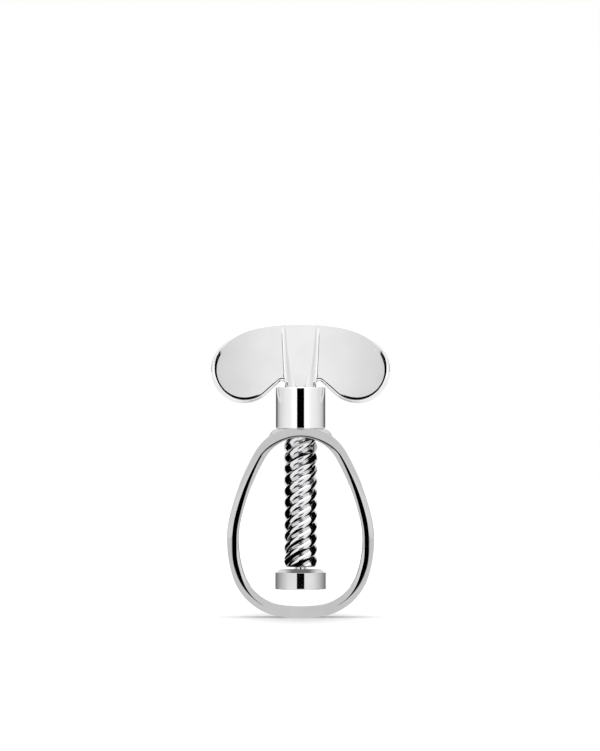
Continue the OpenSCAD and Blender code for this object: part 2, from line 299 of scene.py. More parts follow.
@cache
def turning_group() -> bpy.types.NodeTree:
    """Rings left by a lathe tool, around the tool's own axis.

    Returns:
        A group with the output ``Rings`` (a height).
    """
    inputs = {"Pitch": (FLOAT, 9000.0), "Wander": (FLOAT, 0.35)}
    n, given, made = new_group("turning_rings", inputs, ("Rings",))
    x, y, z = n.add("SeparateXYZ", {0: n.place()}).outputs
    across = n.math("SQRT", n.math("ADD", n.math("POWER", x, 2.0), n.math("POWER", y, 2.0)))
    travel = n.math("MULTIPLY", n.math("ADD", across, z), given["Pitch"])
    uneven = n.noise(n.add("CombineXYZ", {0: travel}).outputs[0], 1.0, 1.0)
    n.wire(made, Rings=n.blend(given["Wander"], n.math("SINE", travel), uneven))
    return n.tree


@cache
def wear_group() -> bpy.types.NodeTree:
    """Edges rubbed bright by handling, broken up by a slow noise.

    Returns:
        A group with the output ``Mask`` of 0 to 1.
    """
    n, given, made = new_group("edge_wear", {"Reach": (FLOAT, 0.06), "Break Up": (FLOAT, 0.5)}, ("Mask",))
    edge = n.math("SUBTRACT", n.add("NewGeometry").outputs["Pointiness"], 0.5)
    strong = n.math("DIVIDE", edge, given["Reach"], clamp=True)
    gaps = n.math("MULTIPLY", n.noise(n.place(), 700.0, 2.0), given["Break Up"])
    n.wire(made, Mask=n.math("SUBTRACT", strong, gaps, clamp=True))
    return n.tree


@cache
def grain_group() -> bpy.types.NodeTree:
    """Small pits and grain, for tumbled steel and moulded plastic.

    Returns:
        A group with outputs ``Grain`` (a height) and ``Mottle`` (a mask of 0 to 1).
    """
    n, given, made = new_group("grain", {"Scale": (FLOAT, 1500.0)}, ("Grain", "Mottle"))
    place = n.place()
    pits = n.add("TexVoronoi", {"Vector": place, "Scale": given["Scale"]}).outputs["Distance"]
    height = n.math("MULTIPLY_ADD", pits, 0.4, n.noise(place, given["Scale"], 4.0))
    n.wire(made, Grain=height, Mottle=n.noise(place, 260.0, 3.0))
    return n.tree


class Tooling(Enum):
    """How a surface was finished, which picks its small relief."""

    POLISHED = "polish_lines"
    TURNED = "turning_rings"
    GRAINED = "grain"


@dataclass(frozen=True)
class Finish:
    """One surface finish: its colours, gloss and small relief."""

    name: str
    slot: str
    colour: Corner
    second: Corner
    gloss: Span
    tooling: Tooling
    relief: float
    metal: float = 1.0
    scale: float = 1200.0
    stretch: Corner = (1.0, 1.0, 1.0)
    worn: Corner = (0.95, 0.95, 0.94)
    wear_reach: float = 0.12

    def material(self) -> bpy.types.Material:
        """Builds the finish's material once and gives it back after that.

        Returns:
            The material.
        """
        ready = bpy.data.materials.get(self.name)
        if ready is not None:
            return ready
        made = bpy.data.materials.new(self.name)
        made.use_nodes = True
        made.diffuse_color = (*self.colour, 1.0)
        shader = made.node_tree.nodes["Principled BSDF"]
        shader.inputs["Metallic"].default_value = self.metal
        n = Node(made.node_tree)
        haze, height = self._relief(n)
        body = n.mix(haze, (*self.colour, 1.0), (*self.second, 1.0))
        tint = n.mix(n.group(wear_group(), Reach=self.wear_reach)["Mask"], body, (*self.worn, 1.0))
        bump = n.add("Bump", {"Height": height, "Distance": self.relief * MM, "Strength": 1.0})
        dull = n.remap(haze, to=self.gloss)
        n.wire(shader, Base_Color=tint, Roughness=dull, Normal=bump.outputs["Normal"])
        return made

    def _relief(self, n: Node) -> tuple[bpy.types.NodeSocket, bpy.types.NodeSocket]:
        """Places the shared groups that the tooling needs.

        Args:
            n: The material's wiring helper.

        Returns:
            The mask between the two colours, and the height.
        """
        if self.tooling is Tooling.GRAINED:
            grain = n.group(grain_group(), Scale=self.scale)
            return grain["Mottle"], grain["Grain"]
        polish = n.group(polish_group(), Stretch=self.stretch, Fineness=self.scale)
        if self.tooling is Tooling.TURNED:
            return polish["Haze"], n.group(turning_group(), Pitch=self.scale)["Rings"]
        return polish["Haze"], polish["Lines"]


def polished(name: str, grey: float, hazy: float, gloss: Span, stretch: Corner,
             relief: float = 0.0001, worn: Corner = (0.95, 0.95, 0.94)) -> Finish:
    """Polished steel of one grey, a little bluer where it is hazy."""
    return Finish(name, "polished_steel", (grey,) * 3, (hazy, hazy, hazy + 0.005), gloss,
                  Tooling.POLISHED, relief, stretch=stretch, worn=worn)


HOOP_STEEL = polished("hoop_steel", 0.56, 0.53, (0.03, 0.06), (6.0, 1.0, 6.0), 0.00015, (0.6, 0.6, 0.6))
COLLAR_STEEL = polished("collar_steel", 0.87, 0.84, (0.02, 0.045), (1.0, 1.0, 9.0))
# The foot's steel is the collar's polished steel painted darker: painted shade for the dim reflections of
# the hoop on the foot.
FOOT_STEEL = polished("foot_steel", 0.76, 0.71, (0.03, 0.06), (1.0, 1.0, 9.0))
WING_STEEL = polished("wing_steel", 0.86, 0.83, (0.03, 0.055), (1.0, 1.0, 7.0))
SCREW_STEEL = Finish("screw_steel", "screw_steel", (0.58, 0.58, 0.575), (0.40, 0.40, 0.405), (0.09, 0.18),
                     Tooling.GRAINED, 0.004, scale=1400.0)
GROUND_STEEL = Finish("ground_steel", "ground_steel", (0.74, 0.74, 0.74), (0.66, 0.66, 0.67), (0.14, 0.24),
                      Tooling.TURNED, 0.004, scale=14000.0)
DARK_STEEL = Finish("dark_steel", "dark_steel", (0.10, 0.10, 0.11), (0.05, 0.05, 0.055), (0.28, 0.42),
                    Tooling.GRAINED, 0.006, scale=2200.0, worn=(0.5, 0.5, 0.5))
BRONZE = Finish("bronze", "bronze", (0.62, 0.40, 0.19), (0.46, 0.28, 0.13), (0.16, 0.32),
                Tooling.TURNED, 0.005, scale=12000.0, worn=(0.85, 0.62, 0.34))
BLACK_POLYMER = Finish("black_polymer", "black_polymer", (0.018, 0.018, 0.02), (0.035, 0.035, 0.037),
                       (0.35, 0.55), Tooling.GRAINED, 0.01, metal=0.0, scale=1800.0, worn=(0.1, 0.1, 0.1))
GREY_POLYMER = Finish("grey_polymer", "grey_polymer", (0.16, 0.16, 0.165), (0.22, 0.22, 0.225),
                      (0.4, 0.6), Tooling.GRAINED, 0.01, metal=0.0, scale=1800.0, worn=(0.3, 0.3, 0.3))


# ---------------------------------------------------------------- meshes

def mesh_object(name: str, points: np.ndarray | Sequence[Corner], faces: Faces,
                surface: Optional[bpy.types.Material] = None) -> bpy.types.Object:
    """Makes an object from points in millimetres and links it to the scene.

    Args:
        name: The object's name.
        points: The mesh's points.
        faces: Its faces.
        surface: Its material, if it has one.

    Returns:
        The object.
    """
    mesh = bpy.data.meshes.new(name)
    mesh.from_pydata((np.asarray(points, float) * MM).tolist(), [], faces)
    if surface is not None:
        mesh.materials.append(surface)
    made = bpy.data.objects.new(name, mesh)
    bpy.context.scene.collection.objects.link(made)
    return made


@dataclass
class Piece:
    """A mesh in the making: points in millimetres, faces, and normals if they are known."""

    name: str
    body: str
    finish: Finish
    nodes: tuple[str, ...]
    points: np.ndarray
    faces: Faces
    normals: Optional[np.ndarray] = None
    cuts: list[bpy.types.Object] = field(default_factory=list)
    sharp_turn: float = 32.0

    def build(self) -> bpy.types.Object:
        """Makes the object, cuts its holes, dresses it and ties it to the frame.

        Returns:
            The finished object.
        """
        made = mesh_object(self.name, self.points, self.faces, self.finish.material())
        for cutter in self.cuts:
            self._cut(made, cutter)
        made.data.polygons.foreach_set("use_smooth", np.ones(len(made.data.polygons), bool))
        if self.normals is not None:
            made.data.normals_split_custom_set(self.normals.tolist())
        else:
            made.data.set_sharp_from_angle(angle=math.radians(self.sharp_turn))
        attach(made, self.body)
        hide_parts(*self.nodes)
        LOG.info("%s: %d faces on %s", self.name, len(made.data.polygons), self.body)
        return made

    @staticmethod
    def _cut(made: bpy.types.Object, cutter: bpy.types.Object) -> None:
        """Cuts one solid out of the piece and removes the cutter.

        Args:
            made: The piece.
            cutter: The closed solid to take away.
        """
        modifier = made.modifiers.new("cut", "BOOLEAN")
        modifier.operation, modifier.solver, modifier.object = "DIFFERENCE", "EXACT", cutter
        seen = made.evaluated_get(bpy.context.evaluated_depsgraph_get())
        cut = bpy.data.meshes.new_from_object(seen)
        made.modifiers.clear()
        old, made.data = made.data, cut
        bpy.data.meshes.remove(old)
        bpy.data.objects.remove(cutter)


def spin(profile: Profile, steps: int = 256, closed: bool = True) -> tuple[np.ndarray, Faces]:
    """Turns a profile about the Z axis.

    Args:
        profile: Points (radius, height), counter-clockwise with the radius to the right.
        steps: Facets around the axis.
        closed: Whether the profile is a loop; otherwise it starts and ends on the axis.

    Returns:
        The points and the faces.
    """
    around = np.linspace(0, 2 * math.pi, steps, endpoint=False)
    rz = np.array(profile if closed else profile[1:-1])
    points = np.stack([np.outer(rz[:, 0], np.cos(around)), np.outer(rz[:, 0], np.sin(around)),
                       np.repeat(rz[:, 1:2], steps, 1)], axis=-1).reshape(-1, 3)
    count = len(rz)
    faces = [face for i in range(count if closed else count - 1)
             for face in strip(i * steps, (i + 1) % count * steps, steps)]
    if not closed:
        low, high, last = len(points), len(points) + 1, (count - 1) * steps
        points = np.vstack([points, [[0, 0, profile[0][1]], [0, 0, profile[-1][1]]]])
        faces += [(low, (k + 1) % steps, k) for k in range(steps)]
        faces += [(high, last + k, last + (k + 1) % steps) for k in range(steps)]
    return points, faces


def hole_for(node: str, gap: float, outside: float, steps: int = 64) -> bpy.types.Object:
    """Makes the cutter for the hole that a pin or screw sits in, from the back.

    Args:
        node: The pin's or the screw's node.
        gap: Clearance around it, in millimetres.
        outside: How far behind the axis the cutter ends.
        steps: Facets around the hole.

    Returns:
        The cutter.
    """
    low, high = box_mm(node)
    radius, length, z = (high.x - low.x) / 2 + gap, outside - low.y, (low.z + high.z) / 2
    side = [(0, 0), (radius, 0), (radius, length), (0, length)]
    made = mesh_object("hole", *spin(side, steps, closed=False))
    turn = Vector((0, length, 0)).to_track_quat("Z", "Y").to_matrix().to_4x4()
    made.data.transform(Matrix.Translation(Vector((0, low.y, z)) * MM) @ turn)
    return made


# ---------------------------------------------------------------- the hoop

@dataclass(frozen=True)
class Ridge:
    """The ridge along the band where the loop faces straight up or straight down.

    Each ramp says, in the sine of the loop's direction, where a size starts to change from its
    value at the loop's side and over how much it does so.
    """

    radius: float
    shift: float
    slope: float
    radius_ramp: Span
    shift_ramp: Span
    slope_ramp: Span


@dataclass
class Hoop:
    """The egg-shaped hoop with its round seat on top."""

    band: float = 5.9
    floor_radius: float = 72.0
    crest_radius: float = 24.0
    low_side_radius: float = 58.0
    low_side_turn: float = 18.0
    high_side_radius: float = 49.0
    high_side_turn: float = 13.0
    belly: float = 39.6
    base_cut: float = 0.3
    seat_wall: float = 4.2
    seat_lip: float = 0.7
    seat_slope: float = 0.56
    seat_curve: float = 0.24
    seat_blend: float = 1.0
    ridge_radius: float = 7.2
    ridge_shift: float = -0.45
    ridge_slope: float = 0.5
    top_ridge: Ridge = Ridge(1.3, -2.1, 0.24, (0.2, 0.4), (0.45, 0.55), (0.45, 0.55))
    low_ridge: Ridge = Ridge(0.1, 0.15, 0.4, (0.25, 0.65), (0.0, 0.22), (0.25, 0.65))
    edge_radius: float = 0.35
    edge_steps: int = 7
    face_steps: int = 35
    wall_steps: int = 26
    passage_gap: float = 0.3
    spigot_step: float = 0.8
    pin_gap: float = 0.02
    cut_past: float = 1.0
    top_bands: float = 2.2
    spacing: float = 0.42

    def __post_init__(self) -> None:
        """Takes the hoop's outer sizes from the frame."""
        high = box_mm("hoop_frame")[1]
        self.half_depth, self.seat_z, self.side_x = high.y, high.z, high.x - self.band / 2
        self.seat_radius = box_mm("collar")[1].x + self.seat_lip
        self.passage = box_mm("helix_screw")[1].x + self.passage_gap
        nut_low, nut_high = box_mm("drive_nut")
        self.spigot_z, self.spigot_radius = nut_low.z, nut_high.x - self.spigot_step

    def arcs(self) -> list[Arc]:
        """Works out the band's centre line.

        Returns:
            Its arcs in order round the loop, each as (centre, radius, from, to).
        """
        low_turn, high_turn = math.radians(self.low_side_turn), math.radians(self.high_side_turn)
        floor = np.array([0, self.band / 2 - self.base_cut + self.floor_radius])
        crest = np.array([0, self.seat_z - self.seat_wall + self.band / 2 - self.crest_radius])
        low = np.array([self.side_x - self.low_side_radius, self.belly])
        high = np.array([self.side_x - self.high_side_radius, self.belly])
        low_end = low + self.low_side_radius * unit(-low_turn)
        high_end = high + self.high_side_radius * unit(high_turn)
        corner_r = bridge_radius(low_end, unit(-low_turn), floor, self.floor_radius)
        flank_r = bridge_radius(high_end, unit(high_turn), crest, self.crest_radius)
        corner = low_end - corner_r * unit(-low_turn)
        flank = high_end - flank_r * unit(high_turn)
        floor_turn, crest_turn = heading(corner - floor), heading(crest - flank)
        side = [(corner, corner_r, floor_turn, -low_turn), (low, self.low_side_radius, -low_turn, 0.0),
                (high, self.high_side_radius, 0.0, high_turn), (flank, flank_r, high_turn, crest_turn)]
        flip = np.array([-1, 1])
        far = [(c * flip, r, math.pi - b, math.pi - a) for c, r, a, b in reversed(side)]
        return ([(floor, self.floor_radius, -math.pi - floor_turn, floor_turn)] + side
                + [(crest, self.crest_radius, crest_turn, math.pi - crest_turn)] + far)

    def section(self, turn: float) -> np.ndarray:
        """Gives the band's section at one place on the loop.

        Args:
            turn: Direction of the loop's outward normal there, in radians.

        Returns:
            Points (outward, depth) around the section.
        """
        end, way = self.top_ridge if math.sin(turn) > 0 else self.low_ridge, abs(math.sin(turn))
        radius, shift, slope = (side + (at_end - side) * ramp(way, *reach) for side, at_end, reach in (
            (self.ridge_radius, end.radius, end.radius_ramp), (self.ridge_shift, end.shift, end.shift_ramp),
            (self.ridge_slope, end.slope, end.slope_ramp)))
        edge, waist, flat_half = self.edge_radius, radius * slope, self.band / 2 - self.edge_radius
        rim = flat_half + edge * np.sin(np.linspace(0, math.pi / 2, self.edge_steps))
        across = np.concatenate([-rim[:0:-1], np.linspace(-flat_half, flat_half, self.face_steps), rim[1:]])
        over = np.clip((np.abs(across) - flat_half) / edge, 0, 1)
        face = self.half_depth - slope * (np.sqrt((across - shift) ** 2 + waist**2) - waist)
        face -= edge * (1 - np.sqrt(1 - over**2))
        front = np.stack([across, -face], axis=1)
        back = np.stack([across, face], axis=1)[::-1]
        wall = np.linspace(0, 1, self.wall_steps)[1:-1, None]
        return np.vstack([front, front[-1] + (back[0] - front[-1]) * wall,
                          back, back[-1] + (front[0] - back[-1]) * wall])

    def build(self) -> bpy.types.Object:
        """Sweeps the section around the loop, squares up the seat and cuts the holes.

        Returns:
            The hoop.
        """
        rings = []
        for centre, radius, start, end in self.arcs():
            steps = math.ceil((end - start) * radius / self.spacing)
            for k in range(steps):
                turn = start + (end - start) * k / steps
                section = self.section(turn)
                at = centre + np.outer(radius + section[:, 0], unit(turn))
                rings.append(np.stack([at[:, 0], section[:, 1], at[:, 1]], axis=1))
        count, size = len(rings), len(rings[0])
        points = self._seat(np.vstack(rings), np.tile(self.section(math.pi / 2)[:, 0], count))
        faces = [face for j in range(count) for face in strip(j * size, (j + 1) % count * size, size)]
        below, above = self.seat_z - self.top_bands * self.band, self.seat_z + self.cut_past
        core = [(0, below), (self.passage, below), (self.passage, self.spigot_z),
                (self.spigot_radius, self.spigot_z), (self.spigot_radius, above), (0, above)]
        cuts = [mesh_object("core", *spin(core, 128, closed=False)),
                hole_for("nut_lock_pin", self.pin_gap, self.half_depth + self.cut_past)]
        return Piece("hoop_polished", "frame", HOOP_STEEL, ("hoop_frame",), points, faces, cuts=cuts).build()

    def _seat(self, points: np.ndarray, outward: np.ndarray) -> np.ndarray:
        """Raises the round seat out of the hoop's top and flattens the seat and the base.

        Args:
            points: All points of the swept band.
            outward: Each point's place across the band.

        Returns:
            The points with the seat and the base shaped.
        """
        x, y, z = points.T
        across = np.hypot(x, y)
        past = np.maximum(across - self.seat_radius, 0.0)
        shoulder = self.seat_z - self.seat_slope * past - self.seat_curve * past**2
        raised = soft_max(z, np.minimum(shoulder, self.seat_z), self.seat_blend)
        outside = outward > (self.band - self.edge_radius) / 2
        near_seat = (z > self.seat_z - 2 * self.band) & (across < 2 * self.seat_radius)
        z = np.where(outside & near_seat, np.maximum(z, raised), z)
        return np.stack([x, y, np.clip(z, 0.0, self.seat_z)], axis=1)


# ---------------------------------------------------------------- the collar

@dataclass
class Collar:
    """The turned collar over the drive nut."""

    groove: float = 0.7
    groove_height: float = 0.3
    edge_fillet: float = 0.45
    bore_fillet: float = 0.3
    roof_fillet: float = 0.15
    small_fillet: float = 0.1
    bore_gap: float = 0.3
    roof: float = 3.2
    nut_wall: float = 1.7
    screw_gap: float = 0.03
    cut_past: float = 1.0

    def build(self) -> bpy.types.Object:
        """Spins the collar and drills its set screw's hole.

        Returns:
            The collar.
        """
        low, high = box_mm("collar")
        radius, bore, nut = high.x, box_mm("helix_screw")[1].x + self.bore_gap, high.x - self.nut_wall
        waist, skirt, roof = radius - self.groove, low.z + self.groove_height, high.z - self.roof
        points, faces = spin(rounded([
            (nut, low.z, 0.0), (waist, low.z, self.small_fillet), (waist, skirt, self.small_fillet),
            (radius, skirt, self.edge_fillet), (radius, high.z, self.edge_fillet),
            (bore, high.z, self.bore_fillet), (bore, roof, self.roof_fillet),
            (nut, roof, self.small_fillet)]), 360)
        cuts = [hole_for("collar_set_screw", self.screw_gap, radius + self.cut_past)]
        return Piece("collar_polished", "frame", COLLAR_STEEL, ("collar",), points, faces, cuts=cuts).build()


# ---------------------------------------------------------------- the screw

@dataclass
class Screw:
    """The four-start screw with rounded strands, a tenon above and a bore below."""

    lead: float = 23.2
    starts: int = 4
    strand_radius: float = 4.95
    end_round: float = 1.1
    end_pinch: float = 0.075
    tenon_radius: float = 5.0
    shank_depth: float = 10.0
    shank_radius: float = 2.6
    points_per_strand: int = 28
    slice_height: float = 0.22
    end_slices: int = 8
    nudge: float = 1e-4

    def __post_init__(self) -> None:
        """Takes the screw's ends and its outer radius from the frame."""
        low, high = box_mm("helix_screw")
        self.low_z, self.tenon_z, self.crest = low.z, high.z, high.x
        self.top_z = box_mm("bumper_washer")[0].z

    def strand(self, off: np.ndarray) -> np.ndarray:
        """Distance from the axis to the thread's surface at angles from a crest, in radians."""
        set_off = self.crest - self.strand_radius
        return set_off * np.cos(off) + np.sqrt(self.strand_radius**2 - (set_off * np.sin(off)) ** 2)

    def point(self, off: np.ndarray, crest: np.ndarray, z: np.ndarray) -> np.ndarray:
        """Points of the thread's surface.

        Args:
            off: Angle from the nearest crest.
            crest: Angle of that crest at the height zero.
            z: Height.

        Returns:
            The points, one in each row.
        """
        end = np.clip((z - self.low_z) / self.end_round, 0, 1)
        radius = self.strand(off) * (1 - self.end_pinch * (1 - np.sqrt(1 - (1 - end) ** 2)))
        turn = crest + off + 2 * math.pi * z / self.lead
        return np.stack([radius * np.cos(turn), radius * np.sin(turn), z], axis=-1)

    def build(self) -> bpy.types.Object:
        """Winds the strands, closes the ends and sets exact normals on the thread.

        Returns:
            The screw.
        """
        step = 2 * math.pi / self.starts
        share = 0.5 * np.sin(math.pi * np.linspace(-0.5, 0.5, self.points_per_strand, endpoint=False))
        off = np.tile(share * step, self.starts)
        crest = np.repeat(np.arange(self.starts) * step, self.points_per_strand)
        rise = self.end_round * (1 - np.cos(np.linspace(0, math.pi / 2, self.end_slices)))
        tall = self.top_z - self.low_z
        plain = np.linspace(self.end_round, tall, math.ceil(tall / self.slice_height))[1:]
        heights = self.low_z + np.concatenate([rise, plain])
        count, levels = len(off), len(heights)
        grid = self.point(off[None, :], crest[None, :], heights[:, None] + 0 * off[None, :])
        faces = [face for j in range(levels - 1) for face in strip(j * count, (j + 1) * count, count)]
        thread_faces = len(faces)
        ends = [self._ring(grid[-1], self.tenon_radius, self.top_z),
                self._ring(grid[-1], self.tenon_radius, self.tenon_z),
                self._ring(grid[0], self.shank_radius, self.low_z),
                self._ring(grid[0], self.shank_radius, self.low_z + self.shank_depth)]
        edge, neck, tip, bore, bottom = ((levels + k) * count for k in range(-1, 4))
        faces += strip(edge, neck, count) + strip(neck, tip, count)
        faces += strip(0, bore, count, flip=True) + strip(bore, bottom, count, flip=True)
        faces += [tuple(range(tip, tip + count)), tuple(range(bottom + count - 1, bottom - 1, -1))]
        points = np.vstack([grid.reshape(-1, 3), *ends])
        normals = self._normals(faces, thread_faces, off, crest, heights, points)
        return Piece("screw_rolled", "screw", SCREW_STEEL, ("helix_screw",), points, faces, normals).build()

    @staticmethod
    def _ring(like: np.ndarray, radius: float, z: float) -> np.ndarray:
        """Ring of points on a circle that keeps the angles of a thread's ring."""
        turn = np.arctan2(like[:, 1], like[:, 0])
        return np.stack([radius * np.cos(turn), radius * np.sin(turn), 0 * turn + z], axis=1)

    def _normals(self, faces: Faces, thread_faces: int, off: np.ndarray, crest: np.ndarray,
                 heights: np.ndarray, points: np.ndarray) -> np.ndarray:
        """Normals for each face corner: worked out on the thread, flat elsewhere.

        Args:
            faces: All faces.
            thread_faces: How many of them, from the first, are on the thread.
            off: Angle from the crest of each point around.
            crest: Angle of the crest of each point around.
            heights: Height of each ring.
            points: All points.

        Returns:
            One normal for each corner, in the order of the faces.
        """
        half, nudge = math.pi / self.starts, self.nudge
        ring, around = np.divmod(np.array(faces[:thread_faces]), len(off))
        first = around[:, :1]
        local = np.where((off[around] < -half + 1e-6) & (off[first] > 0), half, off[around])
        inner = np.clip(local, -half + 2 * nudge, half - 2 * nudge)
        here = crest[first] + 0 * local
        z = np.clip(heights[ring], self.low_z + 2 * nudge, None)
        across = self.point(inner + nudge, here, z) - self.point(inner - nudge, here, z)
        along = self.point(inner, here, z + nudge) - self.point(inner, here, z - nudge)
        normals = [np.cross(across, along).reshape(-1, 3)]
        for face in faces[thread_faces:]:
            a, b, c = points[list(face[:3])]
            normals.append(np.tile(np.cross(b - a, c - a), (len(face), 1)))
        made = np.vstack(normals)
        return made / np.maximum(np.linalg.norm(made, axis=1, keepdims=True), 1e-12)


# ---------------------------------------------------------------- the wing handle

@dataclass
class Wing:
    """The wing handle: a thin blade with two lobes, blended into a hub with slanted flats."""

    lobe_radius: float = 16.9
    lobe_rise: float = 8.9
    top_radius: float = 115.0
    shoulder_turn: float = 48.0
    underside_turn: float = 227.0
    notch_radius: float = 1.6
    neck_step: float = 0.5
    blade_top: float = 1.1
    blade_low: float = 3.9
    flat_top: float = 2.2
    flat_low: float = 7.6
    rim: float = 1.9
    rim_low: float = 0.75
    rim_side: float = 1.0
    rim_power: float = 5.0
    chamfer_slope: float = 0.05
    chamfer_reach: float = 2.7
    chamfer_blend: float = 0.2
    chamfer_power: float = 0.25
    chamfer_fade: float = 62.0
    hub_rim: float = 0.7
    hub_rim_power: float = 4.0
    fillet: float = 2.7
    fillet_inset: float = 2.5
    crease: float = 0.22
    lobe_thickness: float = 3.15
    spacing: float = 0.36
    interior: float = 0.8
    hub_interior: float = 0.3
    hub_reach: float = 4.2
    row_share: float = 0.87
    rim_rows: int = 13
    rim_crowding: float = 1.15
    chamfer_rows: tuple[float, ...] = (-0.5, -0.2, 0.0, 0.2, 0.45)
    row_gap: float = 0.2
    neck_gap: float = 0.15
    grid_shift: float = 0.013
    flush: float = 0.01
    thinnest: float = 0.02
    nudge: float = 0.02

    def __post_init__(self) -> None:
        """Works out the outline's centres from the frame."""
        low, high = box_mm("wing_handle")
        self.neck_z, self.top_z, self.half_span = low.z, high.z, high.x
        self.collar_z = box_mm("collar")[1].z
        self.neck = box_mm("helix_screw")[1].x - self.neck_step
        self.height = self.top_z - self.collar_z
        self.side, self.under = math.radians(self.shoulder_turn), math.radians(self.underside_turn - 360)
        self.lobe = np.array([self.half_span - self.lobe_radius, self.collar_z + self.lobe_rise])
        self.top = np.array([0.0, self.top_z - self.top_radius])
        start = self.lobe + self.lobe_radius * unit(self.side)
        self.shoulder_radius = bridge_radius(start, unit(self.side), self.top, self.top_radius)
        self.shoulder = start - self.shoulder_radius * unit(self.side)
        self.top_turn = heading(self.shoulder - self.top)
        low_point, notch_x = self.lobe + self.lobe_radius * unit(self.under), self.neck + self.notch_radius
        reach = self.notch_radius - (notch_x - low_point[0]) * math.cos(self.under)
        self.notch = np.array([notch_x, low_point[1] + reach / math.sin(self.under)])

    def outline(self, inset: float) -> np.ndarray:
        """Gives the handle's outline, open under the neck.

        Args:
            inset: How far inside the true outline the line runs.

        Returns:
            Points (x, z) at a nearly even spacing, from the neck's right foot round to its left foot.
        """
        arcs = [(self.notch, self.notch_radius + inset, math.pi, self.under + math.pi),
                (self.lobe, self.lobe_radius - inset, self.under, self.side),
                (self.shoulder, self.shoulder_radius - inset, self.side, self.top_turn),
                (self.top, self.top_radius - inset, self.top_turn, math.pi / 2)]
        x, z = self.notch - [arcs[0][1], 0]
        steps = math.ceil((z - self.neck_z) / self.spacing)
        line = [np.array([x, self.neck_z + (z - self.neck_z) * k / steps]) for k in range(steps)]
        for index, (centre, radius, start, end) in enumerate(arcs):
            true_radius = radius + (inset if index else -inset)
            steps = max(4, math.ceil(abs(end - start) * true_radius / self.spacing))
            line += [centre + radius * unit(start + (end - start) * k / steps) for k in range(steps)]
            if index == 0:
                tail = centre + radius * unit(end)
                gap = self.lobe + (self.lobe_radius - inset) * unit(self.under) - tail
                steps = math.ceil(float(np.linalg.norm(gap)) / self.spacing)
                line += [tail + gap * k / steps for k in range(steps)]
        crown = self.top + (self.top_radius - inset) * unit(math.pi / 2)
        return np.vstack([line, crown, np.array(line)[::-1] * [-1, 1]])

    def slant(self, low: float, top: float, z: np.ndarray) -> np.ndarray:
        """Half depth at a height, for a wedge that thins towards the top."""
        return low + (top - low) * (z - self.collar_z) / self.height

    def depth(self, x: np.ndarray, z: np.ndarray) -> np.ndarray:
        """Half depth of the handle over the whole outline.

        Args:
            x: Distances across.
            z: Heights.

        Returns:
            The half depth at each place.
        """
        away, inside = np.abs(x), self.rim_distance(x, z)
        around = polar(away, z, self.lobe)[1]
        not_upper = 1 - ramp(around, 0.0, self.side)
        upwards = ramp(around, self.under, -self.under) * not_upper
        width = self.rim_low + (self.rim_side - self.rim_low) * upwards
        thick = self.slant(self.blade_low, self.blade_top, z)
        share = np.clip(inside / (self.rim * width * thick / self.lobe_thickness), 0, 1)
        chamfer = ramp(around, self.under, math.radians(self.chamfer_fade)) * not_upper * self.chamfer_slope
        chamfer = chamfer * soft_max(self.chamfer_reach - inside, 0 * inside, self.chamfer_blend)
        rim = (1 - (1 - share) ** 2) ** (1 / self.rim_power)
        in_blade = (z > self.notch[1] - self.notch_radius) | (away > self.notch[0])
        blade = np.maximum(thick * rim - chamfer * share**self.chamfer_power, 0.0) * in_blade
        fillet = np.maximum(self.fillet * ramp(inside, 0.0, self.fillet_inset), 1e-3)
        spread = np.sqrt(np.maximum((self.neck + fillet) ** 2 - (blade + fillet) ** 2, 1e-9))
        cylinder = np.sqrt(np.maximum(self.neck**2 - away**2, 0.0))
        hollow = blade + fillet - np.sqrt(np.maximum(fillet**2 - (spread - away) ** 2, 0.0))
        tangent = self.neck / (self.neck + fillet) * spread
        hub = np.where(away >= spread, blade, np.where(away <= tangent, cylinder, hollow))
        top_share = np.clip((self.top_radius - polar(x, z, self.top)[0]) / self.hub_rim, 0, 1)
        flat = self.slant(self.flat_low, self.flat_top, z)
        flat = flat * (1 - (1 - top_share) ** 2) ** (1 / self.hub_rim_power)
        least = np.maximum(np.minimum(hub, flat), 0.0)
        return np.maximum(-soft_max(-hub, -flat, np.minimum(self.crease, 0.5 * least) + 1e-6), 0.0)

    def rim_distance(self, x: np.ndarray, z: np.ndarray) -> np.ndarray:
        """Distance of places from the blade's rim.

        Args:
            x: Distances across.
            z: Heights.

        Returns:
            The distances, zero outside the rim and below the notch.
        """
        away, beyond = np.abs(x), 1e3
        to_notch, notch_turn = polar(away, z, self.notch)
        to_notch = to_notch - self.notch_radius
        from_lobe, lobe_turn = polar(away, z, self.lobe)
        from_shoulder, shoulder_turn = polar(away, z, self.shoulder)
        on_shoulder = (shoulder_turn >= self.side) & (shoulder_turn < self.top_turn)
        upper = np.where(on_shoulder, self.shoulder_radius - from_shoulder,
                         self.top_radius - polar(away, z, self.top)[0])
        line = self.lobe_radius - (np.stack([away, z], axis=-1) - self.lobe) @ unit(self.under)
        on_notch = (notch_turn > self.under + math.pi) & (to_notch < line + self.notch_radius)
        lower = np.where(on_notch, to_notch, line)
        at_neck = away < self.notch[0]
        chord = np.where(at_neck, z - self.notch[1], beyond)
        found = np.minimum(upper, np.where(at_neck, np.minimum(np.maximum(to_notch, 0), chord), lower))
        on_lobe = (lobe_turn > self.under) & (lobe_turn < self.side)
        return np.maximum(np.where(on_lobe, np.minimum(self.lobe_radius - from_lobe, upper), found), 0.0)

